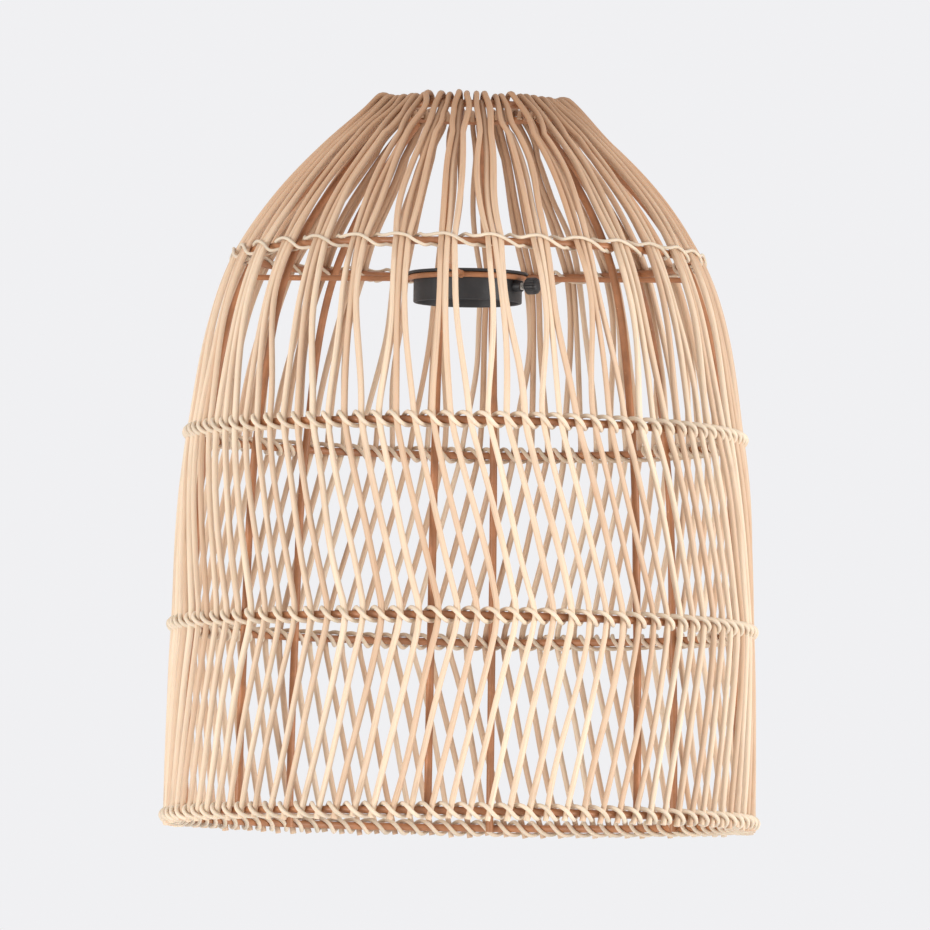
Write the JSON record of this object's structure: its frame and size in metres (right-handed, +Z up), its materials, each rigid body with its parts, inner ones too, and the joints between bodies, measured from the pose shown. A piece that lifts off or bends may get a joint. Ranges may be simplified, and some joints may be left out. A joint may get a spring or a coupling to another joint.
{
  "type": "lamp shade",
  "caption": "Bell-shaped lamp shade of natural canes bound in rows to a wire frame, with a clamp collar for a lampholder.",
  "frame": {"origin": "centre of the fitter collar's bore", "axes": "+Z up along the bore, towards the crest; -Y to the front, +X to its right"},
  "size_m": [0.2344, 0.2344, 0.2842],
  "materials": {
    "cane": "natural peeled cane, satin",
    "strand": "natural cane core, matt",
    "frame_wire": "brown paint, satin",
    "black_metal": "black powder coat",
    "screw_steel": "zinc-plated thread",
    "black_plastic": "moulded grip"
  },
  "bodies": {
    "shade": {"top_hoop": "frame_wire", "shoulder_hoop": "frame_wire", "upper_hoop": "frame_wire", "lower_hoop": "frame_wire", "rim_hoop": "frame_wire", "rib_1": "frame_wire", "rib_2": "frame_wire", "rib_3": "frame_wire", "rib_4": "frame_wire", "rib_5": "frame_wire", "rib_6": "frame_wire", "rib_7": "frame_wire", "rib_8": "frame_wire", "carrier_ring": "frame_wire", "carrier_arm_1": "frame_wire", "carrier_arm_2": "frame_wire", "carrier_arm_3": "frame_wire", "carrier_arm_4": "frame_wire", "fitter_collar": "black_metal", "cane_bundle_1": "cane", "cane_bundle_2": "cane", "cane_bundle_3": "cane", "cane_bundle_4": "cane", "cane_bundle_5": "cane", "cane_bundle_6": "cane", "cane_bundle_7": "cane", "cane_bundle_8": "cane", "cane_bundle_9": "cane", "cane_bundle_10": "cane", "cane_bundle_11": "cane", "cane_bundle_12": "cane", "cane_bundle_13": "cane", "cane_bundle_14": "cane", "cane_bundle_15": "cane", "cane_bundle_16": "cane", "cane_bundle_17": "cane", "cane_bundle_18": "cane", "cane_bundle_19": "cane", "cane_bundle_20": "cane", "cane_bundle_21": "cane", "cane_bundle_22": "cane", "cane_bundle_23": "cane", "cane_bundle_24": "cane", "cane_bundle_25": "cane", "cane_bundle_26": "cane", "cane_bundle_27": "cane", "cane_bundle_28": "cane", "cane_bundle_29": "cane", "cane_bundle_30": "cane", "cane_bundle_31": "cane", "cane_bundle_32": "cane", "shoulder_binding": "strand", "upper_binding": "strand", "lower_binding": "strand", "rim_binding": "strand"},
    "screw": {"clamp_screw": "screw_steel"},
    "knob": {"clamp_knob": "black_plastic"}
  },
  "joints": [
    {"name": "screw_travel", "type": "slide", "parent": "shade", "child": "screw", "axis": [-0.866, 0.5, 0], "range_m": [-0.002, 0.0012]},
    {"name": "knob_turn", "type": "hinge", "parent": "screw", "child": "knob", "pos_m": [0.02338, -0.0135, 0], "axis": [-0.866, 0.5, 0], "range_deg": [-1440, 864]}
  ],
  "couplings": [
    {"joint": "knob_turn", "follows": "screw_travel", "rad_per_m": 12566}
  ]
}
